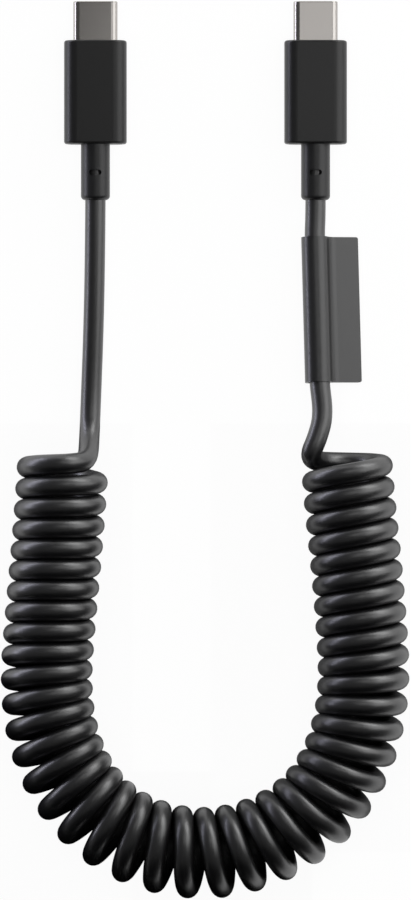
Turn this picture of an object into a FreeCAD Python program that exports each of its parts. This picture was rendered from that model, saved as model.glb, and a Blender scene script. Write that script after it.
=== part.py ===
# USB-C cable: two straight plugs joined by one cord, most of it wound into a springy coil.
# Millimetres. The cable lies on a surface at Z = 0, its plugs side by side with their tips
# towards +Y. The origin is on that surface, midway between the two plugs.

import FreeCAD
import Part
import Sketcher
import math
import os
from FreeCAD import Placement, Rotation, Vector

doc = FreeCAD.newDocument("usb_c_cable")

# Driving dimensions: name, size, what it measures
sizes = (
    ("plug_spacing", 41.0, "between the two plugs' centre lines"),
    ("shell_width", 8.25, "steel shell, outside"),
    ("shell_height", 2.40, "steel shell, outside"),
    ("shell_wall", 0.25, "sheet of the shell"),
    ("shell_exposed", 7.3, "shell in front of the housing"),
    ("shell_hidden", 4.4, "shell inside the housing"),
    ("shell_lip", 0.20, "rounding of the mouth's outer edge"),
    ("close_fit", 0.02, "clearance between the pieces inside the shell"),
    ("carrier_setback", 0.3, "carrier's face behind the shell's mouth"),
    ("carrier_flange", 0.8, "flange behind the shell's rear edge"),
    ("tongue_height", 0.84, "slot for the socket's tongue"),
    ("tongue_depth", 6.2, "slot for the socket's tongue"),
    ("tongue_corner", 0.15, "rounding of the slot's corners"),
    ("contact_count", 12, "contacts in a row"),
    ("contact_pitch", 0.5, "from contact to contact"),
    ("contact_width", 0.2, "contact strip"),
    ("contact_thickness", 0.12, "contact strip"),
    ("contact_tail", 1.8, "tail on the card"),
    ("contact_gap", 0.66, "between the crests of the two rows"),
    ("contact_crest", 2.9, "crest behind the carrier's face"),
    ("contact_slope", 2.6, "sloping spring behind the crest"),
    ("contact_tip_run", 0.55, "upturned tip in front of the crest"),
    ("contact_tip_rise", 0.22, "upturned tip"),
    ("contact_joggle", 0.6, "length of the step between tail and beam, and its distance from the rear"),
    ("groove_side", 0.03, "room beside a contact in its groove"),
    ("groove_room", 0.08, "room above a contact in its groove"),
    ("groove_wall", 0.10, "carrier between groove and shell"),
    ("latch_thickness", 0.20, "latch plate"),
    ("latch_arm", 0.30, "width of a latch arm"),
    ("latch_wall", 0.10, "carrier outside a latch arm"),
    ("latch_gap", 0.05, "between the tongue's slot and a latch arm"),
    ("latch_bar", 2.0, "cross bar of the latch plate"),
    ("latch_reach", 4.3, "arms in front of the slot's floor"),
    ("latch_hook", 0.22, "hook into the slot"),
    ("latch_hook_front", 0.44, "sloping front of the hook"),
    ("latch_hook_rear", 0.66, "sloping rear of the hook"),
    ("ground_width", 5.2, "ground spring"),
    ("ground_length", 1.4, "ground spring"),
    ("ground_thickness", 0.10, "ground spring"),
    ("ground_lip", 0.35, "ground spring behind the carrier's face"),
    ("ground_spread", 3.2, "between the two dimples"),
    ("ground_dimple", 0.7, "dimple's width"),
    ("ground_foot", 1.12, "dimple's length at its foot"),
    ("ground_crown", 0.35, "dimple's length at its top"),
    ("ground_reach", 0.06, "dimple into the slot"),
    ("card_thickness", 0.6, "paddle card"),
    ("card_length", 6.2, "paddle card"),
    ("card_side", 0.15, "card inside the shell's outline, each side"),
    ("card_corner", 0.5, "chamfer of the card's corners"),
    ("can_wall", 0.20, "sheet of the shield can"),
    ("can_fit", 0.05, "clearance between can and shell"),
    ("can_overlap", 1.2, "can over the shell's rear end"),
    ("barrel_length", 1.9, "crimp barrel on the cord"),
    ("barrel_room", 0.5, "crimp barrel in front of the strain relief's base"),
    ("barrel_wall", 0.15, "crimp barrel"),
    ("barrel_fit", 0.03, "clearance round the cord in the barrel"),
    ("barrel_flare", 0.1, "can's rear disc beyond the barrel"),
    ("wire_diameter", 0.76, "insulated wire"),
    ("wire_pitch", 0.82, "between the wires side by side"),
    ("wire_lap", 2.4, "wire on the card"),
    ("mould_fit", 0.05, "clearance round the inner mould"),
    ("housing_width", 11.65, "plug housing"),
    ("housing_thickness", 6.4, "plug housing"),
    ("housing_length", 19.25, "plug housing"),
    ("housing_corner", 2.5, "rounding of the housing's long edges"),
    ("housing_wall", 0.8, "side wall of the housing"),
    ("housing_front_wall", 1.2, "wall round the shell"),
    ("housing_edge", 0.45, "rounding of the housing's ends"),
    ("shell_fit", 0.05, "clearance of the shell in the housing's front wall"),
    ("relief_base", 2.6, "strain relief's base inside the housing"),
    ("relief_fit", 0.05, "clearance of the base in the housing and of the collar behind it"),
    ("collar_diameter", 5.4, "strain relief's collar"),
    ("collar_length", 10.45, "collar behind the housing"),
    ("collar_edge", 0.8, "rounding of the collar's end"),
    ("collar_bore_fit", 0.12, "clearance round the cord in the collar"),
    ("window_width", 2.3, "slot in the collar, front and back"),
    ("window_height", 1.0, "slot in the collar"),
    ("window_from_housing", 5.35, "slot's centre behind the housing"),
    ("cord_diameter", 3.8, "cord's jacket, outside"),
    ("cord_jacket", 0.35, "wall of the jacket"),
    ("cord_straight", 3.05, "straight stretch behind the collar"),
    ("coil_diameter", 17.1, "coil, outside"),
    ("tag_length", 27.15, "tag along the cord"),
    ("tag_from_bend", 0.2, "tag behind the right lead's first bend"),
    ("tag_sheet", 0.5, "sheet of the tag"),
    ("tag_fit", 0.12, "clearance round the cord in the tag"),
    ("tag_reach", 8.35, "flap's edge from the cord's centre"),
    ("tag_droop", 18, "flap below level, in degrees"),
    ("tag_fold", 2.3, "hollow rounding where the tag's two halves meet"),
    ("tag_seam", 0.12, "slit left beside the cord where the halves part"),
    ("tag_corner", 0.4, "rounding of the flap's corners"),
)

dims = doc.addObject("Spreadsheet::Sheet", "dims")
for row, (name, size, note) in enumerate(sizes, start=1):
    dims.set(f"A{row}", name)
    dims.set(f"B{row}", str(size))
    dims.set(f"C{row}", note)
    dims.setAlias(f"B{row}", name)
doc.recompute()

# Stations along a plug, measured forward from the housing's rear face
shell_tip = "(dims.housing_length + dims.shell_exposed)"
shell_rear = "(dims.housing_length - dims.shell_hidden)"
carrier_front = f"({shell_tip} - dims.carrier_setback)"
carrier_rear = f"({shell_rear} - dims.carrier_flange)"
slot_floor = f"({carrier_front} - dims.tongue_depth)"
crest = f"({carrier_front} - dims.contact_crest)"
contact_tip = f"({crest} + dims.contact_tip_run)"
groove_front = f"({contact_tip} + dims.contact_tip_run / 2)"
ground_front = f"({carrier_front} - dims.ground_lip)"
ground_rear = f"({ground_front} - dims.ground_length)"
can_front = f"({shell_rear} + dims.can_overlap)"
barrel_rear = "(dims.relief_base + dims.barrel_room)"
can_rear = f"({barrel_rear} + dims.barrel_length)"
cord_end = f"({can_rear} - dims.close_fit)"
card_front = f"({carrier_rear} - dims.close_fit)"
card_rear = f"({card_front} - dims.card_length)"
relief_shoulder = "(-dims.relief_fit)"
mould_rear = "(dims.relief_base + dims.mould_fit)"
cavity_front = "(dims.housing_length - dims.housing_front_wall)"
collar_end = "(-dims.collar_length)"
plug_middle = "((dims.housing_length + dims.shell_exposed - dims.collar_length) / 2)"
axis_height = "(dims.housing_thickness / 2)"

# Widths and heights across a plug
carrier_width = "(dims.shell_width - 2 * dims.shell_wall - 2 * dims.close_fit)"
carrier_height = "(dims.shell_height - 2 * dims.shell_wall - 2 * dims.close_fit)"
arm_outside = f"({carrier_width} / 2 - dims.latch_wall)"
arm_inside = f"({arm_outside} - dims.latch_arm)"
tongue_width = f"(2 * ({arm_inside} - dims.latch_gap))"
tail_low = "(dims.card_thickness / 2 + dims.close_fit)"
groove_top = f"({carrier_height} / 2 - dims.groove_wall)"
beam_low = f"({groove_top} - dims.groove_room - dims.contact_thickness)"
ground_top = f"({carrier_height} / 2 - dims.close_fit)"
ground_low = f"({ground_top} - dims.ground_thickness)"
dimple_low = "(dims.tongue_height / 2 - dims.ground_reach)"
can_inside_width = "(dims.shell_width + 2 * dims.can_fit)"
can_inside_height = "(dims.shell_height + 2 * dims.can_fit)"
can_width = f"({can_inside_width} + 2 * dims.can_wall)"
can_height = f"({can_inside_height} + 2 * dims.can_wall)"
barrel_bore = "(dims.cord_diameter + 2 * dims.barrel_fit)"
barrel_outside = f"({barrel_bore} + 2 * dims.barrel_wall)"
rear_disc = f"({barrel_outside} + 2 * dims.barrel_flare)"
cavity_width = "(dims.housing_width - 2 * dims.housing_wall)"
cavity_height = "(dims.housing_thickness - 2 * dims.housing_wall)"
cavity_corner = "(dims.housing_corner - dims.housing_wall)"

nodes = []


def value(expression):
    return float(dims.evalExpression(expression))


def new_body(label):
    body = doc.addObject("PartDesign::Body", label)
    body.Label = label
    nodes.append(body)
    return body


def plug_body(side, label):
    # side is -1 for the left plug and 1 for the right one
    body = new_body(f"{'left' if side < 0 else 'right'}_{label}")
    body.setExpression("Placement.Base.x", f"{side} * dims.plug_spacing / 2")
    body.setExpression("Placement.Base.y", f"-{plug_middle}")
    body.setExpression("Placement.Base.z", axis_height)
    return body


def new_sketch(body, plane, offset):
    sketch = body.newObject("Sketcher::SketchObject", f"{body.Name}_sketch")
    features = body.Origin.OriginFeatures
    support = [feature for feature in features if feature.Role == plane]
    sketch.AttachmentSupport = [(support[0], "")]
    sketch.MapMode = "FlatFace"
    sketch.setExpression("AttachmentOffset.Base.z", offset)
    return sketch


def section(body, station):
    # across the plug at a station: across is X, up is Z
    return new_sketch(body, "XZ_Plane", f"-{station}")


def profile(body, across="0"):
    # along the plug: across is Y, up is Z
    return new_sketch(body, "YZ_Plane", across)


def plan(body, height="0"):
    # seen from above: across is X, up is Y
    return new_sketch(body, "XY_Plane", height)


def bind(sketch, constraint, expression):
    index = sketch.addConstraint(constraint)
    sketch.setExpression(f"Constraints[{index}]", expression)


def place_point(sketch, shape, point, across, up):
    if across == "0" and up == "0":
        sketch.addConstraint(Sketcher.Constraint("Coincident", shape, point, -1, 1))
        return
    bind(sketch, Sketcher.Constraint("DistanceX", -1, 1, shape, point, value(across)), across)
    bind(sketch, Sketcher.Constraint("DistanceY", -1, 1, shape, point, value(up)), up)


def polygon(sketch, corners):
    points = [Vector(value(across), value(up), 0) for across, up in corners]
    count = len(points)
    first = sketch.GeometryCount
    for number, point in enumerate(points):
        sketch.addGeometry(Part.LineSegment(point, points[(number + 1) % count]))
    for number, (across, up) in enumerate(corners):
        line = first + number
        following = first + (number + 1) % count
        sketch.addConstraint(Sketcher.Constraint("Coincident", line, 2, following, 1))
        place_point(sketch, line, 1, across, up)


def rectangle(sketch, left, right, low, high):
    polygon(sketch, ((left, low), (right, low), (right, high), (left, high)))


def circle(sketch, diameter, across="0", up="0"):
    centre = Vector(value(across), value(up), 0)
    index = sketch.addGeometry(Part.Circle(centre, Vector(0, 0, 1), value(diameter) / 2))
    bind(sketch, Sketcher.Constraint("Diameter", index, value(diameter)), diameter)
    place_point(sketch, index, 3, across, up)


def rounded_rectangle(sketch, width, height, corner):
    half_width = value(width) / 2
    half_height = value(height) / 2
    radius = value(corner)
    reach = half_width - radius
    rise = half_height - radius
    up = Vector(0, 0, 1)
    first = sketch.GeometryCount
    turns = ((reach, rise, 0), (-reach, rise, 1), (-reach, -rise, 2), (reach, -rise, 3))
    for across, along, quarter in turns:
        ring = Part.Circle(Vector(across, along, 0), up, radius)
        start = quarter * math.pi / 2
        sketch.addGeometry(Part.ArcOfCircle(ring, start, start + math.pi / 2))
    sides = (
        ((reach, half_height), (-reach, half_height)),
        ((-half_width, rise), (-half_width, -rise)),
        ((-reach, -half_height), (reach, -half_height)),
        ((half_width, -rise), (half_width, rise)),
    )
    for start, end in sides:
        sketch.addGeometry(Part.LineSegment(Vector(*start, 0), Vector(*end, 0)))
    for quarter in range(4):
        arc = first + quarter
        line = first + 4 + quarter
        following = first + (quarter + 1) % 4
        sketch.addConstraint(Sketcher.Constraint("Tangent", arc, 2, line, 1))
        sketch.addConstraint(Sketcher.Constraint("Tangent", line, 2, following, 1))
        direction = "Horizontal" if quarter % 2 == 0 else "Vertical"
        sketch.addConstraint(Sketcher.Constraint(direction, line))
        if quarter:
            sketch.addConstraint(Sketcher.Constraint("Equal", first, arc))
    sketch.addConstraint(Sketcher.Constraint("Symmetric", first, 3, first + 2, 3, -1, 1))
    bind(sketch, Sketcher.Constraint("Radius", first, radius), corner)
    bind(sketch, Sketcher.Constraint("DistanceX", first + 5, 1, first + 7, 1, 2 * half_width), width)
    bind(sketch, Sketcher.Constraint("DistanceY", first + 6, 1, first + 4, 1, 2 * half_height), height)


def stadium(sketch, width, height, up="0"):
    # a slot outline with full round ends, on the sketch's upright axis
    radius = value(height) / 2
    reach = value(width) / 2 - radius
    middle = value(up)
    normal = Vector(0, 0, 1)
    top = middle + radius
    low = middle - radius
    right = Part.Circle(Vector(reach, middle, 0), normal, radius)
    left = Part.Circle(Vector(-reach, middle, 0), normal, radius)
    first = sketch.GeometryCount
    sketch.addGeometry(Part.ArcOfCircle(right, -math.pi / 2, math.pi / 2))
    sketch.addGeometry(Part.LineSegment(Vector(reach, top, 0), Vector(-reach, top, 0)))
    sketch.addGeometry(Part.ArcOfCircle(left, math.pi / 2, 3 * math.pi / 2))
    sketch.addGeometry(Part.LineSegment(Vector(-reach, low, 0), Vector(reach, low, 0)))
    for number in range(4):
        following = first + (number + 1) % 4
        sketch.addConstraint(Sketcher.Constraint("Tangent", first + number, 2, following, 1))
    sketch.addConstraint(Sketcher.Constraint("Equal", first, first + 2))
    bind(sketch, Sketcher.Constraint("Radius", first, radius), f"{height} / 2")
    half_reach = f"({width} - {height}) / 2"
    for arc, sign in ((first, ""), (first + 2, "-")):
        place_point(sketch, arc, 3, f"{sign}({half_reach})", f"({up})")


def forward(body, kind, sketch, length):
    # a pad or pocket towards the plug's tip
    feature = body.newObject(f"PartDesign::{kind}", f"{body.Name}_{kind.lower()}")
    feature.Profile = sketch
    feature.setExpression("Length", length)
    feature.Reversed = kind == "Pad"
    return finish_feature(body, feature, kind)


def both_ways(body, kind, sketch, length):
    # a pad or pocket to both sides of its sketch
    feature = body.newObject(f"PartDesign::{kind}", f"{body.Name}_{kind.lower()}")
    feature.Profile = sketch
    feature.SideType = "Symmetric"
    feature.setExpression("Length", length)
    return finish_feature(body, feature, kind)


def finish_feature(body, feature, kind):
    before = feature.BaseFeature.Shape.Volume if feature.BaseFeature else 0
    doc.recompute()
    after = feature.Shape.Volume
    grew = after - before
    if (grew <= 0 and kind == "Pad") or (grew >= 0 and kind == "Pocket"):
        raise RuntimeError(f"{feature.Name} changed nothing")
    body.Tip = feature
    return feature


def repeat_across(body, feature, pitch, count):
    pattern = body.newObject("PartDesign::LinearPattern", f"{body.Name}_pattern")
    pattern.Originals = [feature]
    axis = [item for item in body.Origin.OriginFeatures if item.Role == "X_Axis"]
    pattern.Direction = (axis[0], [""])
    pattern.setExpression("Length", f"{pitch} * ({count} - 1)")
    pattern.setExpression("Occurrences", count)
    body.Tip = pattern
    doc.recompute()


def round_edges(body, radius, wanted):
    doc.recompute()
    base = body.Tip
    names = [f"Edge{number}" for number, edge in enumerate(base.Shape.Edges, start=1) if wanted(edge)]
    fillet = body.newObject("PartDesign::Fillet", f"{body.Name}_fillet")
    fillet.Base = (base, names)
    fillet.setExpression("Radius", radius)
    body.Tip = fillet
    doc.recompute()


def lies_at(station):
    # picks the edges that lie wholly at one station along the plug
    place = value(station)

    def wanted(edge):
        box = edge.BoundBox
        return abs(box.YMin - place) < same_place and abs(box.YMax - place) < same_place

    return wanted


def make_plug_shell(side):
    body = plug_body(side, "plug_shell")
    tube = section(body, shell_rear)
    stadium(tube, "dims.shell_width", "dims.shell_height")
    forward(body, "Pad", tube, "dims.shell_hidden + dims.shell_exposed")
    round_edges(body, "dims.shell_lip", lies_at(shell_tip))
    bore = section(body, shell_rear)
    stadium(bore, "(dims.shell_width - 2 * dims.shell_wall)", "(dims.shell_height - 2 * dims.shell_wall)")
    forward(body, "Pocket", bore, "dims.shell_hidden + dims.shell_exposed")


def make_contact_carrier(side):
    body = plug_body(side, "contact_carrier")
    core = section(body, carrier_rear)
    stadium(core, carrier_width, carrier_height)
    forward(body, "Pad", core, f"{carrier_front} - {carrier_rear}")
    flange = section(body, carrier_rear)
    stadium(flange, "dims.shell_width", "dims.shell_height")
    forward(body, "Pad", flange, "dims.carrier_flange - dims.close_fit")
    slot = section(body, slot_floor)
    rounded_rectangle(slot, tongue_width, "dims.tongue_height", "dims.tongue_corner")
    forward(body, "Pocket", slot, "dims.tongue_depth")
    latch = plan(body)
    reach = f"({arm_outside} + dims.close_fit)"
    rear = f"({slot_floor} - dims.latch_bar - dims.close_fit)"
    rectangle(latch, f"-{reach}", reach, rear, f"{slot_floor} + dims.latch_reach + dims.latch_gap")
    both_ways(body, "Pocket", latch, "dims.latch_thickness + 2 * dims.close_fit")
    for sign in ("", "-"):
        cut_ground_recess(body, sign)
        cut_contact_grooves(body, sign)


def cut_ground_recess(body, sign):
    recess = profile(body)
    high = f"{sign}({carrier_height} / 2 + dims.close_fit)"
    low = f"{sign}({ground_low} - dims.close_fit)"
    rear = f"{ground_rear} - dims.close_fit"
    front = f"{ground_front} + dims.close_fit"
    rectangle(recess, rear, front, low, high)
    both_ways(body, "Pocket", recess, "dims.ground_width + 2 * dims.close_fit")
    for place in ("-", ""):
        window = profile(body, f"{place}(dims.ground_spread / 2)")
        rectangle(window, rear, front, f"{sign}({dimple_low})", low)
        both_ways(body, "Pocket", window, "dims.ground_dimple + 4 * dims.close_fit")


def cut_contact_grooves(body, sign):
    groove = section(body, carrier_rear)
    first = "(dims.contact_pitch * (dims.contact_count - 1) / 2)"
    half = "(dims.contact_width / 2 + dims.groove_side)"
    low = f"{sign}({tail_low} - dims.close_fit / 2)"
    rectangle(groove, f"-{first} - {half}", f"-{first} + {half}", low, f"{sign}{groove_top}")
    cut = forward(body, "Pocket", groove, f"{groove_front} - {carrier_rear}")
    repeat_across(body, cut, "dims.contact_pitch", "dims.contact_count")


def make_contacts(side, row, sign):
    body = plug_body(side, f"{row}_contacts")
    first = "-(dims.contact_pitch * (dims.contact_count - 1) / 2)"
    strip = profile(body, first)
    joggle_rear = f"({carrier_rear} + dims.contact_joggle)"
    joggle_front = f"({joggle_rear} + dims.contact_joggle)"
    crest_low = "(dims.contact_gap / 2)"
    bends = (
        (f"{carrier_rear} - dims.contact_tail", tail_low),
        (joggle_rear, tail_low),
        (joggle_front, beam_low),
        (f"{crest} - dims.contact_slope", beam_low),
        (crest, crest_low),
        (contact_tip, f"({crest_low} + dims.contact_tip_rise)"),
    )
    lower = [(along, f"{sign}{height}") for along, height in bends]
    upper = [(along, f"{sign}({height} + dims.contact_thickness)") for along, height in reversed(bends)]
    polygon(strip, lower + upper)
    contact = both_ways(body, "Pad", strip, "dims.contact_width")
    repeat_across(body, contact, "dims.contact_pitch", "dims.contact_count")


def make_latch_plate(side):
    body = plug_body(side, "latch_plate")
    outline = plan(body)
    rear = f"{slot_floor} - dims.latch_bar"
    front = f"({slot_floor} + dims.latch_reach)"
    hook = f"({front} - dims.latch_hook_front)"
    hook_rear = f"({hook} - dims.latch_hook_rear)"
    hook_inside = f"({arm_inside} - dims.latch_gap - dims.latch_hook)"
    half = (
        (arm_outside, rear),
        (arm_outside, front),
        (arm_inside, front),
        (hook_inside, hook),
        (arm_inside, hook_rear),
        (arm_inside, slot_floor),
    )
    mirrored = [(f"-{across}", along) for across, along in reversed(half)]
    polygon(outline, list(half) + mirrored)
    both_ways(body, "Pad", outline, "dims.latch_thickness")


def make_ground_spring(side, row, sign):
    body = plug_body(side, f"{row}_ground_spring")
    plate = profile(body)
    rectangle(plate, ground_rear, ground_front, f"{sign}{ground_low}", f"{sign}{ground_top}")
    both_ways(body, "Pad", plate, "dims.ground_width")
    middle = f"(({ground_rear} + {ground_front}) / 2)"
    for place in ("-", ""):
        dimple = profile(body, f"{place}(dims.ground_spread / 2)")
        pressed = (
            (f"{middle} - dims.ground_foot / 2", f"{sign}{ground_low}"),
            (f"{middle} - dims.ground_crown / 2", f"{sign}{dimple_low}"),
            (f"{middle} + dims.ground_crown / 2", f"{sign}{dimple_low}"),
            (f"{middle} + dims.ground_foot / 2", f"{sign}{ground_low}"),
        )
        polygon(dimple, pressed)
        both_ways(body, "Pad", dimple, "dims.ground_dimple")


def make_paddle_card(side):
    body = plug_body(side, "paddle_card")
    outline = plan(body)
    edge = "(dims.shell_width / 2 - dims.card_side)"
    inset = f"({edge} - dims.card_corner)"
    half = (
        (inset, card_rear),
        (edge, f"{card_rear} + dims.card_corner"),
        (edge, f"{card_front} - dims.card_corner"),
        (inset, card_front),
    )
    mirrored = [(f"-{across}", along) for across, along in reversed(half)]
    polygon(outline, list(half) + mirrored)
    both_ways(body, "Pad", outline, "dims.card_thickness")


def make_wire(side, label, across, sign):
    body = plug_body(side, f"{label}_wire")
    wire = section(body, cord_end)
    height = f"{sign}(dims.card_thickness / 2 + dims.close_fit + dims.wire_diameter / 2)"
    circle(wire, "dims.wire_diameter", f"{across} * dims.wire_pitch", height)
    forward(body, "Pad", wire, f"{card_rear} + dims.wire_lap - {cord_end}")


def make_shield_can(side):
    body = plug_body(side, "shield_can")
    sleeve = section(body, can_rear)
    stadium(sleeve, can_width, can_height)
    stadium(sleeve, can_inside_width, can_inside_height)
    forward(body, "Pad", sleeve, f"{can_front} - {can_rear}")
    rear_wall = section(body, can_rear)
    stadium(rear_wall, can_width, can_height)
    forward(body, "Pad", rear_wall, "dims.can_wall")
    disc = section(body, can_rear)
    circle(disc, rear_disc)
    forward(body, "Pad", disc, "dims.can_wall")
    barrel = section(body, barrel_rear)
    circle(barrel, barrel_outside)
    forward(body, "Pad", barrel, "dims.barrel_length")
    seat = section(body, barrel_rear)
    circle(seat, barrel_bore)
    forward(body, "Pocket", seat, "dims.barrel_length")
    mouth = section(body, can_rear)
    circle(mouth, "dims.cord_diameter - 2 * dims.cord_jacket")
    forward(body, "Pocket", mouth, "dims.can_wall")


def make_inner_mould(side):
    body = plug_body(side, "inner_mould")
    block = section(body, mould_rear)
    width = f"({cavity_width} - 2 * dims.mould_fit)"
    height = f"({cavity_height} - 2 * dims.mould_fit)"
    rounded_rectangle(block, width, height, f"({cavity_corner} - dims.mould_fit)")
    forward(body, "Pad", block, f"{can_front} - {mould_rear}")
    seat_rear = f"({can_rear} - dims.mould_fit)"
    seat = section(body, seat_rear)
    stadium(seat, f"({can_width} + 2 * dims.mould_fit)", f"({can_height} + 2 * dims.mould_fit)")
    forward(body, "Pocket", seat, f"{can_front} - {seat_rear}")
    disc_seat = section(body, seat_rear)
    circle(disc_seat, f"({rear_disc} + 2 * dims.mould_fit)")
    forward(body, "Pocket", disc_seat, "dims.can_wall + 2 * dims.mould_fit")
    bore = section(body, mould_rear)
    circle(bore, f"({barrel_outside} + 2 * dims.mould_fit)")
    forward(body, "Pocket", bore, f"{can_rear} - {mould_rear}")


def make_housing(side):
    body = plug_body(side, "housing")
    block = section(body, "0")
    rounded_rectangle(block, "dims.housing_width", "dims.housing_thickness", "dims.housing_corner")
    forward(body, "Pad", block, "dims.housing_length")
    for station in ("0", "dims.housing_length"):
        round_edges(body, "dims.housing_edge", lies_at(station))
    cavity = section(body, "0")
    rounded_rectangle(cavity, cavity_width, cavity_height, cavity_corner)
    forward(body, "Pocket", cavity, cavity_front)
    slot = section(body, cavity_front)
    stadium(slot, "(dims.shell_width + 2 * dims.shell_fit)", "(dims.shell_height + 2 * dims.shell_fit)")
    forward(body, "Pocket", slot, "dims.housing_front_wall")


def make_strain_relief(side):
    # the base plugs the housing's open rear and the collar's shoulder seats on the housing's rim
    body = plug_body(side, "strain_relief")
    base = section(body, relief_shoulder)
    width = f"({cavity_width} - 2 * dims.relief_fit)"
    height = f"({cavity_height} - 2 * dims.relief_fit)"
    rounded_rectangle(base, width, height, f"({cavity_corner} - dims.relief_fit)")
    forward(body, "Pad", base, f"dims.relief_base - {relief_shoulder}")
    collar = section(body, collar_end)
    circle(collar, "dims.collar_diameter")
    forward(body, "Pad", collar, f"{relief_shoulder} - {collar_end}")
    round_edges(body, "dims.collar_edge", lies_at(collar_end))
    bore = section(body, collar_end)
    circle(bore, "(dims.cord_diameter + 2 * dims.collar_bore_fit)")
    forward(body, "Pocket", bore, f"dims.relief_base - {collar_end}")
    window = plan(body)
    stadium(window, "dims.window_width", "dims.window_height", "-dims.window_from_housing")
    both_ways(body, "Pocket", window, "dims.collar_diameter")


def make_plug(side):
    make_plug_shell(side)
    make_contact_carrier(side)
    make_contacts(side, "upper", "")
    make_contacts(side, "lower", "-")
    make_latch_plate(side)
    make_ground_spring(side, "upper", "")
    make_ground_spring(side, "lower", "-")
    make_paddle_card(side)
    make_wire(side, "power", "-1", "")
    make_wire(side, "configuration", "0", "")
    make_wire(side, "ground", "1", "")
    make_wire(side, "data_plus", "-0.5", "-")
    make_wire(side, "data_minus", "0.5", "-")
    make_shield_can(side)
    make_inner_mould(side)
    make_housing(side)
    make_strain_relief(side)


# Middle line of the springy coil, from its left end round to its right end
coil_points = (
    (-26.4, -65.5), (-27.0, -75.1), (-27.9, -86.0), (-29.0, -97.6), (-29.8, -108.5),
    (-28.7, -118.1), (-25.4, -126.5), (-19.4, -133.9), (-11.0, -138.7), (-0.5, -140.5),
    (9.9, -138.5), (18.8, -133.4), (24.4, -126.7), (28.0, -118.3), (29.5, -108.6),
    (28.9, -97.6), (27.9, -86.0), (26.7, -75.1), (26.0, -65.8),
)

# The two leads, from their straight stretch behind the collar into the coil's ends
left_points = ((-20.8, -40.1, 5.2), (-21.2, -49.5, 8.4), (-21.5, -58.5, 12.0), (-22.0, -66.7, 14.0))
right_points = ((20.32, -25.2, 3.5), (21.1, -55.5, 5.7), (19.6, -67.0, 9.2))

# Share of the shorter run that a corner's arc takes
corner_share = 0.45

# Edges nearer than this to a place lie at it
same_place = 1e-4


def rounded_path(label, points):
    # straight runs joined by arcs that take the same share of the shorter run at each corner
    edges = []
    start = points[0]
    for before, corner, after in zip(points, points[1:], points[2:]):
        back = before - corner
        ahead = after - corner
        tangent = corner_share * min(back.Length, ahead.Length)
        turn = math.pi - back.getAngle(ahead)
        radius = tangent / math.tan(turn / 2)
        back.normalize()
        ahead.normalize()
        enter = corner + back * tangent
        leave = corner + ahead * tangent
        inward = back + ahead
        inward.normalize()
        middle = corner + inward * (radius / math.cos(turn / 2) - radius)
        edges.append(Part.LineSegment(start, enter).toShape())
        edges.append(Part.Arc(enter, middle, leave).toShape())
        print(f"{label}: bend radius {radius:.1f} at {corner.x:.1f}, {corner.y:.1f}")
        start = leave
    edges.append(Part.LineSegment(start, points[-1]).toShape())
    return Part.Wire(edges)


def sweep_tube(label, points, diameter):
    route = doc.addObject("Part::Feature", f"{label}_route")
    route.Shape = rounded_path(label, points)
    ring = doc.addObject("Part::Circle", f"{label}_ring")
    ring.setExpression("Radius", f"{diameter} / 2")
    ring.Placement = Placement(points[0], Rotation(Vector(0, 0, 1), points[1] - points[0]))
    tube = doc.addObject("Part::Sweep", f"{label}_tube")
    tube.Sections = [ring]
    tube.Spine = (route, [f"Edge{number}" for number in range(1, len(route.Shape.Edges) + 1)])
    tube.Solid = True
    doc.recompute()
    expected = math.pi * value(diameter) ** 2 / 4 * route.Shape.Length
    ratio = tube.Shape.Volume / expected
    print(f"{label}: length {route.Shape.Length:.1f}, volume over section times length {ratio:.4f}")
    return tube


def plug_start(side):
    # the cord's end in the crimp barrel and the end of its straight stretch
    across = side * value("dims.plug_spacing") / 2
    height = value(axis_height)
    inside = value(f"{cord_end} - {plug_middle}")
    outside = value(f"{collar_end} - {plug_middle} - dims.cord_straight")
    return [Vector(across, inside, height), Vector(across, outside, height)]


def make_cord():
    height = value("dims.coil_diameter / 2")
    turns = [Vector(across, along, height) for across, along in coil_points]
    coil = sweep_tube("coil", turns, "dims.coil_diameter")
    coil.Label = "coil"
    nodes.append(coil)
    for label, side, points in (("left_lead", -1, left_points), ("right_lead", 1, right_points)):
        route = plug_start(side) + [Vector(*point) for point in points]
        tube = sweep_tube(label, route, "dims.cord_diameter")
        lead = doc.addObject("Part::Cut", label)
        lead.Label = label
        lead.Base = tube
        lead.Tool = coil
        nodes.append(lead)


def make_cable_tag():
    # a strip folded round the right lead and stuck to itself, standing out as a flap
    body = new_body("cable_tag")
    bore = "(dims.cord_diameter + 2 * dims.tag_fit)"
    outside = f"({bore} + 2 * dims.tag_sheet)"
    seam_end = "(dims.cord_diameter / 2 + dims.tag_fold)"
    wrap = plan(body)
    circle(wrap, outside)
    pad_up(body, wrap, "dims.tag_length")
    flap = plan(body)
    rectangle(flap, "0", "dims.tag_reach", "-dims.tag_sheet", "dims.tag_sheet")
    pad_up(body, flap, "dims.tag_length")
    length = value("dims.tag_length")
    half_sheet = value("dims.tag_sheet")
    edge = value("dims.tag_reach")

    def inner_corner(line):
        box = line.BoundBox
        runs_along = box.ZLength > length / 2
        beside_wrap = abs(abs(box.YMin) - half_sheet) < same_place and box.XMax < edge / 2
        return runs_along and beside_wrap

    def flap_corner(line):
        box = line.BoundBox
        at_edge = abs(box.XMin - edge) < same_place
        return at_edge and box.YLength > half_sheet and box.ZLength < same_place

    round_edges(body, "dims.tag_fold", inner_corner)
    round_edges(body, "dims.tag_corner", flap_corner)
    hole = plan(body)
    circle(hole, bore)
    cut_up(body, hole, "dims.tag_length")
    seam = plan(body)
    rectangle(seam, "0", seam_end, "-dims.tag_seam / 2", "dims.tag_seam / 2")
    cut_up(body, seam, "dims.tag_length")
    place_tag(body)


def pad_up(body, sketch, length):
    feature = body.newObject("PartDesign::Pad", f"{body.Name}_pad")
    feature.Profile = sketch
    feature.setExpression("Length", length)
    finish_feature(body, feature, "Pad")


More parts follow.
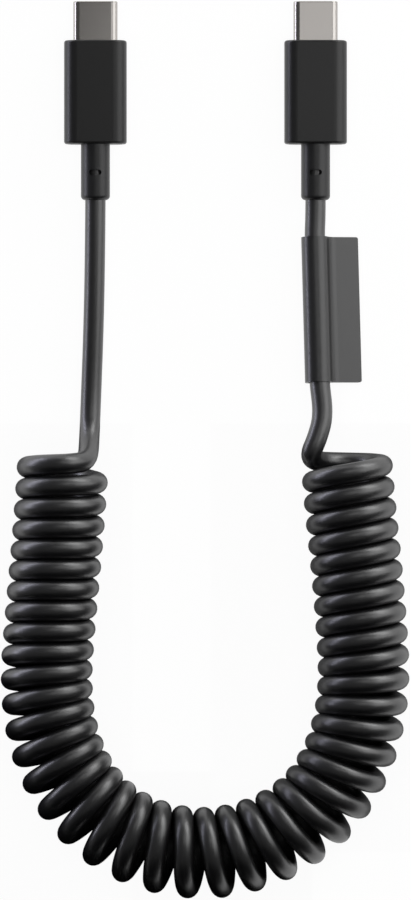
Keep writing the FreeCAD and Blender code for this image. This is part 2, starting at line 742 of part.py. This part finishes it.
def cut_up(body, sketch, length):
    feature = body.newObject("PartDesign::Pocket", f"{body.Name}_pocket")
    feature.Profile = sketch
    feature.Reversed = True
    feature.setExpression("Length", length)
    finish_feature(body, feature, "Pocket")


def place_tag(body):
    # along the second run of the right lead, its flap to the right and drooping towards the table
    top, bottom = Vector(*right_points[0]), Vector(*right_points[1])
    along = bottom - top
    along.normalize()
    level = along.cross(Vector(0, 0, 1)).normalize() * -1
    droop = math.radians(value("dims.tag_droop"))
    flap = level * math.cos(droop) - along.cross(level) * math.sin(droop)
    turn = Rotation(flap, along.cross(flap), along, "ZXY")
    body.Placement = Placement(top + along * value("dims.tag_from_bend"), turn)


for plug_side in (-1, 1):
    make_plug(plug_side)
make_cord()
make_cable_tag()
doc.recompute()

for item in doc.Objects:
    if "Invalid" in item.State or "Error" in item.State:
        raise RuntimeError(f"{item.Label} failed")
for node in nodes:
    if node.Shape.isNull() or not node.Shape.isValid():
        raise RuntimeError(f"{node.Label} is not a valid solid")

os.makedirs("parts", exist_ok=True)
for node in nodes:
    node.Shape.exportStep(f"parts/{node.Label}.step")
print(f"{len(nodes)} nodes written")
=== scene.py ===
import math

import bpy
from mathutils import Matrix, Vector


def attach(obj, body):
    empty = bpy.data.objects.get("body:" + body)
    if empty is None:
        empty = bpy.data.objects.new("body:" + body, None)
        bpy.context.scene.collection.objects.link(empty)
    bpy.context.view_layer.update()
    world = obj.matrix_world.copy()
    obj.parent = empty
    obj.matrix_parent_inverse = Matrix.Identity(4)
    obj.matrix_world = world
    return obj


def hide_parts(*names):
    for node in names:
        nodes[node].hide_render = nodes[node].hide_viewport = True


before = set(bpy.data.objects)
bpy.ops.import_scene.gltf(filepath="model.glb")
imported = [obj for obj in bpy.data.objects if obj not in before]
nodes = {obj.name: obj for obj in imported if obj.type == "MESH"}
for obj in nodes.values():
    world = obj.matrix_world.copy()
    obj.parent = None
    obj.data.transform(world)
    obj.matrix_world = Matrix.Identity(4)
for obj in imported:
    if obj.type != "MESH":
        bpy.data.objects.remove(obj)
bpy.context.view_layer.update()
mm = 0.001
bpy.ops.object.select_all(action="DESELECT")
bpy.context.scene.view_settings.view_transform = "Standard"
print("frame loaded:", len(nodes), "nodes")


def linearColour(hexText):
    # by the sRGB standard's curve
    parts = [int(hexText[i:i + 2], 16) / 255 for i in (1, 3, 5)]
    return [p / 12.92 if p <= 0.04045 else ((p + 0.055) / 1.055) ** 2.4 for p in parts] + [1]


def addNode(material, kind, settings=None, links=None, **options):
    # settings fill sockets by name, links join sockets to other nodes' outputs
    node = material.node_tree.nodes.new(kind)
    for name, option in options.items():
        setattr(node, name, option)
    for name, setting in (settings or {}).items():
        node.inputs[name].default_value = setting
    for name, output in (links or {}).items():
        material.node_tree.links.new(output, node.inputs[name])
    return node


def newMaterial(name, roughness=0.5, metallic=0, ior=1.5, specular=0.5):
    material = bpy.data.materials.new(name)
    material.use_nodes = True
    shader = material.node_tree.nodes["Principled BSDF"]
    shader.inputs["Roughness"].default_value = roughness
    shader.inputs["Metallic"].default_value = metallic
    shader.inputs["IOR"].default_value = ior
    shader.inputs["Specular IOR Level"].default_value = specular
    return material, shader


def joinSocket(material, output, shader, socket):
    material.node_tree.links.new(output, shader.inputs[socket])


# The cord: one length from plug to plug, wound in a right-handed coil between two leads.
cordFacts = {
    "diameter": 3.8 * mm,
    "length": 1.89,
    "curveSteps": 6,       # from one route point to the next
    "bevelSteps": 9,       # 22 sides round
    "exit": (-20.5 * mm, -18.5 * mm, 3.2 * mm),
}
# Lengths in mm. Phases in degrees: 0 faces the inside of the U, 90 is on top.
coilFacts = {
    "height": 8.55,        # of the coil's middle line above the table
    "turnRadius": 6.64,    # from that line to the cord's middle
    "turns": 42,           # counted in the photo
    "spacing": [4.1, 3.8, 3.92, 4.33, 4.97, 5.23],   # turn to turn, from either end to the middle
    "startPhase": -125.5,  # at the middle line's first point
    "firstPhase": 80,      # where the left lead has joined
    "lastPhase": -40,      # where the right lead leaves, counted from the end of the last turn
    "pointsPerTurn": 12,
    "lineSteps": 24,       # from one point of the middle line to the next
    "middleLine": [
        (-26.3, -65.2), (-26.9, -74.8), (-27.8, -85.7), (-28.9, -97.3), (-29.7, -108.2),
        (-28.6, -117.8), (-25.3, -126.25), (-19.3, -133.65), (-10.9, -138.45), (-0.35, -140.25),
        (10.05, -138.25), (18.95, -133.15), (24.5, -126.45), (28.05, -118.0), (29.53, -108.3),
        (28.93, -97.3), (27.93, -85.7), (26.73, -74.8), (26.03, -65.5),
    ],
}
# Both leads in mm: the left one lies low and climbs at the coil, the right one rises gently.
leftLead = [
    (-20.5, -3.07, 3.2), (-20.5, -12.3, 3.2), (-20.5, -21.55, 3.2), (-20.76, -40.1, 2.9),
    (-21.4, -57.0, 2.8), (-21.6, -63.0, 4.9), (-21.8, -67.2, 11.2),
]
rightLead = [
    (19.25, -66.2, 8.7), (20.85, -62.6, 8.3), (21.93, -58.3, 7.0), (21.1, -52.0, 5.5),
    (20.7, -40.0, 4.5), (20.3, -25.2, 3.5), (20.5, -21.55, 3.2), (20.5, -12.3, 3.2), (20.5, -3.07, 3.2),
]


def nurbsCurve(name, places):
    data = bpy.data.curves.new(name, "CURVE")
    data.dimensions = "3D"
    spline = data.splines.new("NURBS")
    spline.points.add(len(places) - 1)
    for point, place in zip(spline.points, places):
        point.co = (place[0] * mm, place[1] * mm, place[2] * mm, 1)
    spline.order_u = 3
    spline.use_endpoint_u = True
    curve = bpy.data.objects.new(name, data)
    bpy.context.collection.objects.link(curve)
    return curve


def spacingAt(spacing, share):
    # the spacing is the same from both ends of the coil to its middle
    step = (1 - abs(2 * share - 1)) * (len(spacing) - 1)
    i = min(int(step), len(spacing) - 2)
    return spacing[i] + (spacing[i + 1] - spacing[i]) * (step - i)


def coilTurns(facts):
    line = nurbsCurve("coilMiddleLine", [(x, y, facts["height"]) for x, y in facts["middleLine"]])
    line.data.resolution_u = facts["lineSteps"]
    lineMesh = bpy.data.meshes.new_from_object(line)
    middle = [vertex.co / mm for vertex in lineMesh.vertices]
    bpy.data.objects.remove(line)
    bpy.data.meshes.remove(lineMesh)
    last = len(middle) - 1
    inward = []
    reach = [0]
    for i in range(last + 1):
        along = (middle[min(i + 1, last)] - middle[max(i - 1, 0)]).normalized()
        inward.append(Vector((-along.y, along.x, 0)))
        if i:
            reach.append(reach[-1] + (middle[i] - middle[i - 1]).length)
    phases = [facts["startPhase"]]
    for i in range(last):
        spacing = spacingAt(facts["spacing"], reach[i] / reach[last])
        phases.append(phases[i] + 360 * (reach[i + 1] - reach[i]) / spacing)
    fullTurns = 360 * facts["turns"]
    lineTurns = (phases[last] - phases[0]) / 360
    print("coil:", round(lineTurns, 2), "turns, ends at", round(phases[last] - fullTurns))
    # an order 3 spline cuts inside its control points by this much
    radius = facts["turnRadius"] / math.cos(math.pi / facts["pointsPerTurn"])
    turns = []
    phase = facts["firstPhase"]
    i = 0
    while phase <= fullTurns + facts["lastPhase"]:
        while i < last - 1 and phases[i + 1] < phase:
            i += 1
        share = (phase - phases[i]) / (phases[i + 1] - phases[i])
        place = middle[i].lerp(middle[i + 1], share)
        side = inward[i].lerp(inward[i + 1], share).normalized()
        angle = math.radians(phase)
        turns.append(place + side * radius * math.cos(angle) + Vector((0, 0, radius * math.sin(angle))))
        phase += 360 / facts["pointsPerTurn"]
    return turns


cord = nurbsCurve("cord", leftLead + [tuple(p) for p in coilTurns(coilFacts)] + rightLead)
cord.data.resolution_u = cordFacts["curveSteps"]
cord.data.bevel_depth = 1          # times each point's radius, so that the curve's own box is right
for point in cord.data.splines[0].points:
    point.radius = cordFacts["diameter"] / 2
cord.data.bevel_resolution = cordFacts["bevelSteps"]
cord.data.use_fill_caps = True
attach(cord, "root")
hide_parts("left_lead", "coil", "right_lead")
print("cord laid:", len(cord.data.splines[0].points), "points")


noiseFacts = {"low": 0.3, "high": 0.7, "detail": 3}     # most of the noise lies between low and high


def grainedFinish(name, facts):
    # a fine random grain that varies the tone, the gloss and the height of a moulded or rolled skin
    material, shader = newMaterial(name, metallic=facts.get("metallic", 0), ior=facts.get("ior", 1.5),
                                   specular=facts.get("specular", 0.5))
    place = addNode(material, "ShaderNodeTexCoord")
    size = addNode(material, "ShaderNodeMapping", {"Scale": [1 / (s * mm) for s in facts["grain"]]},
                   {"Vector": place.outputs["Object"]})
    grain = addNode(material, "ShaderNodeTexNoise", {"Scale": 1, "Detail": noiseFacts["detail"]},
                    {"Vector": size.outputs["Vector"]})
    tone = addNode(material, "ShaderNodeValToRGB", None, {"Fac": grain.outputs["Fac"]})
    for element, colour, end in zip(tone.color_ramp.elements, facts["colours"], ("low", "high")):
        element.color = linearColour(colour)
        element.position = noiseFacts[end]
    smooth, rough = facts["roughness"]
    gloss = addNode(material, "ShaderNodeMapRange",
                    {"From Min": noiseFacts["low"], "From Max": noiseFacts["high"],
                     "To Min": smooth, "To Max": rough},
                    {"Value": grain.outputs["Fac"]})
    bump = addNode(material, "ShaderNodeBump", {"Strength": facts["bump"], "Distance": facts["depth"] * mm},
                   {"Height": grain.outputs["Fac"]})
    joinSocket(material, tone.outputs["Color"], shader, "Base Color")
    joinSocket(material, gloss.outputs["Result"], shader, "Roughness")
    joinSocket(material, bump.outputs["Normal"], shader, "Normal")
    return material


# Grain is in mm across, along and up, and depth in mm. A spark-eroded skin's real grain is near 0.03 mm
# and is drawn coarser.
finishes = {
    # extruded jacket: deep even black with a soft wide sheen along every turn
    "cord_jacket": grainedFinish("polyurethaneJacketSatinBlack", {
        "colours": ("#09090a", "#0d0d0e"), "roughness": (0.35, 0.39), "grain": (0.5, 0.5, 0.5),
        "bump": 0.05, "depth": 0.02, "ior": 1.6, "specular": 1.0}),
    # moulded in a spark-eroded tool: dull charcoal, finely speckled, light only along its rounded edges
    "housing": grainedFinish("polycarbonateSparkErodedCharcoal", {
        "colours": ("#0e0e0e", "#121212"), "roughness": (0.36, 0.42), "grain": (0.25, 0.25, 0.25),
        "bump": 0.2, "depth": 0.02, "specular": 0.6}),
    # soft moulding round the cord: a duller black than the jacket, faintly mottled
    "strain_relief": grainedFinish("elastomerMattBlack", {
        "colours": ("#0e0e0f", "#121213"), "roughness": (0.36, 0.42), "grain": (0.3, 0.3, 0.3),
        "bump": 0.2, "depth": 0.02, "specular": 0.65}),
    # nickel on drawn steel: warm grey mirror, blurred by fine lines along the draw
    "plug_shell": grainedFinish("drawnSteelNickelSatin", {
        "colours": ("#b6b2ae", "#bcb8b4"), "roughness": (0.20, 0.24), "grain": (0.2, 1.2, 0.2),
        "bump": 0.02, "depth": 0.01, "metallic": 1}),
    # moulded with glass fibre: dull black with faint streaks where it flowed in
    "contact_carrier": grainedFinish("liquidCrystalPolymerBlack", {
        "colours": ("#121212", "#191919"), "roughness": (0.5, 0.6), "grain": (0.1, 0.3, 0.1),
        "bump": 0.2, "depth": 0.01}),
    # thin plating on a spring: warm yellow glint on each bend
    "contacts": grainedFinish("goldFlashOnNickel", {
        "colours": ("#cfa54c", "#dfbb66"), "roughness": (0.2, 0.3), "grain": (0.1, 0.3, 0.1),
        "bump": 0.1, "depth": 0.005, "metallic": 1}),
    # cold rolled strip: cool bright grey, grained along the arm
    "latch_plate": grainedFinish("rolledSpringSteel", {
        "colours": ("#b9b7b3", "#c8c6c2"), "roughness": (0.24, 0.34), "grain": (0.1, 0.8, 0.1),
        "bump": 0.15, "depth": 0.01, "metallic": 1}),
    # dipped in tin: pale silver, a little cloudy
    "shield_can": grainedFinish("tinnedBrassSheet", {
        "colours": ("#c2c2bf", "#d4d4d0"), "roughness": (0.3, 0.45), "grain": (0.4, 0.4, 0.4),
        "bump": 0.2, "depth": 0.01, "metallic": 1}),
    # moulded without pigment: milky, waxy white
    "inner_mould": grainedFinish("polyethyleneNatural", {
        "colours": ("#cfccc2", "#dcd9d0"), "roughness": (0.4, 0.5), "grain": (0.8, 0.8, 0.8),
        "bump": 0.1, "depth": 0.02}),
    # glass cloth under a green film: shiny dark green, mottled by the weave
    "paddle_card": grainedFinish("glassEpoxyGreenMask", {
        "colours": ("#123d22", "#1c5a33"), "roughness": (0.25, 0.4), "grain": (0.25, 0.9, 0.25),
        "bump": 0.3, "depth": 0.02}),
    # rolled film: black from above, greyer where it leans to the light
    "cable_tag": grainedFinish("vinylLabelSatinBlack", {
        "colours": ("#0f0f10", "#131314"), "roughness": (0.32, 0.38), "grain": (0.3, 0.3, 0.3),
        "bump": 0.1, "depth": 0.02, "specular": 1.0}),
}
# extruded wire covers: plain colours with a soft shine
wireColours = {
    "power_wire": ("#8e1414", "#a81c1c"),
    "configuration_wire": ("#173a8c", "#1f4bb0"),
    "ground_wire": ("#0d0d0e", "#151516"),
    "data_plus_wire": ("#1c6b2b", "#258438"),
    "data_minus_wire": ("#c9c8c4", "#dddcd8"),
}
for wire, colours in wireColours.items():
    finishes[wire] = grainedFinish("pvcWire_" + wire, {
        "colours": colours, "roughness": (0.35, 0.45), "grain": (0.4, 0.4, 0.4),
        "bump": 0.1, "depth": 0.01})
finishes["ground_spring"] = finishes["latch_plate"]

cord.data.materials.append(finishes["cord_jacket"])
for name, node in nodes.items():
    fitting = [piece for piece in finishes if name.endswith(piece)]
    node.data.materials.clear()
    node.data.materials.append(finishes[fitting[0]] if fitting else finishes["cord_jacket"])
print("materials set:", len(finishes))


# Table, lamps and camera.
tableFacts = {"size": 6, "at": (0, -0.065, 0), "colour": "#fafafa", "roughness": 0.9, "glow": 0.95}
bpy.ops.mesh.primitive_plane_add(size=tableFacts["size"], location=tableFacts["at"])
table = bpy.context.object
table.name = "table"
# glows to the eye and in reflections: even white with only a trace of shadow
paper, shader = newMaterial("paperWhite", roughness=tableFacts["roughness"])
shader.inputs["Base Color"].default_value = linearColour(tableFacts["colour"])
rays = addNode(paper, "ShaderNodeLightPath")
direct = addNode(paper, "ShaderNodeMath", None,
                 {0: rays.outputs["Is Camera Ray"], 1: rays.outputs["Is Glossy Ray"]}, operation="MAXIMUM")
seen = addNode(paper, "ShaderNodeMath", None,
               {0: direct.outputs[0], 1: rays.outputs["Is Transmission Ray"]}, operation="MAXIMUM")
share = addNode(paper, "ShaderNodeMath", {1: tableFacts["glow"]}, {0: seen.outputs[0]}, operation="MULTIPLY")
glow = addNode(paper, "ShaderNodeEmission")
mix = addNode(paper, "ShaderNodeMixShader", None,
              {"Fac": share.outputs[0], 1: shader.outputs[0], 2: glow.outputs[0]})
paper.node_tree.links.new(mix.outputs[0], paper.node_tree.nodes["Material Output"].inputs["Surface"])
table.data.materials.append(paper)

# Cards that the camera doesn't see and that cast no shadow. Black on the near side: an upright flag, and
# cards flat on the table that are painted shade of the table there; together they keep the near half of each
# turn dark. Grey under the coil: a painted shadow of the coil on the table, as the turns show it in their
# skin.
middleOfView = Vector((0, -0.065, 0.006))
paintedShadeCards = {}
# matt black and grey for the cards' painted shade and painted shadow
for tone, colour in {"Black": "#050505", "Grey": "#8a8a8a"}.items():
    paintedShadeCards[tone], shader = newMaterial("paintedShadeCard" + tone, roughness=1, specular=0)
    shader.inputs["Base Color"].default_value = linearColour(colour)
boards = {
    "nearBoard": {"at": (0, -0.40, 0.30), "size": (1.0, 0.60), "tilt": 90, "tone": "Black"},
    # flat black cards: painted shade of the table on the near side
    "nearCard": {"at": (-0.165, -0.26, -0.0058), "size": (0.27, 0.44), "tilt": 0, "tone": "Black"},
    "bottomCard": {"at": (-0.01, -0.27, -0.0058), "size": (0.06, 0.42), "tilt": 0, "tone": "Black"},
    # grey cards: painted shadow of the coil on the table under each limb
    "leftShade": {"at": (-0.0308, -0.044, -0.0059), "size": (0.0345, 0.098), "tilt": 0, "tone": "Grey"},
    "rightShade": {"at": (0.022, -0.035, -0.0059), "size": (0.042, 0.08), "tilt": 0, "tone": "Grey"},
}
for name, board in boards.items():
    at = middleOfView + Vector(board["at"])
    bpy.ops.mesh.primitive_plane_add(size=1, location=at, rotation=(math.radians(board["tilt"]), 0, 0))
    card = bpy.context.object
    card.name = name
    card.scale = (*board["size"], 1)
    card.visible_camera = False
    card.visible_shadow = False
    card.data.materials.append(paintedShadeCards[board["tone"]])

lamps = {
    "keySoftbox": {"at": (0.31, 0.49, 0.16), "size": (0.34, 0.29), "radiance": 3.8, "colour": "#ffffff"},
    "backPanel": {"at": (-0.04, 0.58, 0.12), "size": (0.34, 0.20), "radiance": 0.9, "colour": "#ffffff"},
    "rightPanel": {"at": (0.21, 0.08, 0.13), "size": (0.16, 0.25), "radiance": 1.7, "colour": "#ffffff"},
    "leftPanel": {"at": (-0.38, 0.20, 0.038), "size": (0.52, 0.076), "radiance": 6.0, "colour": "#ececff"},
    "topPanel": {"at": (0.041, 0.09, 0.22), "size": (0.10, 0.10), "radiance": 0.88, "colour": "#ffffff"},
    "fillPanel": {"at": (0, 0, 0.60), "size": (0.60, 0.60), "radiance": 2.4, "colour": "#ffffff"},
}
for name, lamp in lamps.items():
    at = middleOfView + Vector(lamp["at"])
    aim = (middleOfView - at).to_track_quat("-Z", "Y").to_euler()
    bpy.ops.object.light_add(type="AREA", location=at, rotation=aim)
    light = bpy.context.object
    light.name = name
    light.visible_camera = False
    light.data.shape = "RECTANGLE"
    light.data.size, light.data.size_y = lamp["size"]
    light.data.energy = lamp["radiance"] * math.pi * lamp["size"][0] * lamp["size"][1]
    light.data.color = linearColour(lamp["colour"])[:3]
    # the fill brings colours to their own level and leaves no highlight
    light.visible_glossy = name != "fillPanel"

worldFacts = {"colour": "#ffffff", "strength": 0.1}
world = bpy.data.worlds.new("studio")
bpy.context.scene.world = world
world.use_nodes = True
background = world.node_tree.nodes["Background"]
background.inputs["Color"].default_value = linearColour(worldFacts["colour"])
background.inputs["Strength"].default_value = worldFacts["strength"]

cameraFacts = {"lens": 300, "height": 1.4, "middle": (0, -65.03 * mm)}
bpy.ops.object.camera_add(location=(*cameraFacts["middle"], cameraFacts["height"]), rotation=(0, 0, 0))
camera = bpy.context.object
camera.data.lens = cameraFacts["lens"]
bpy.context.scene.camera = camera
print("stage, lamps and camera set")

bpy.context.view_layer.update()
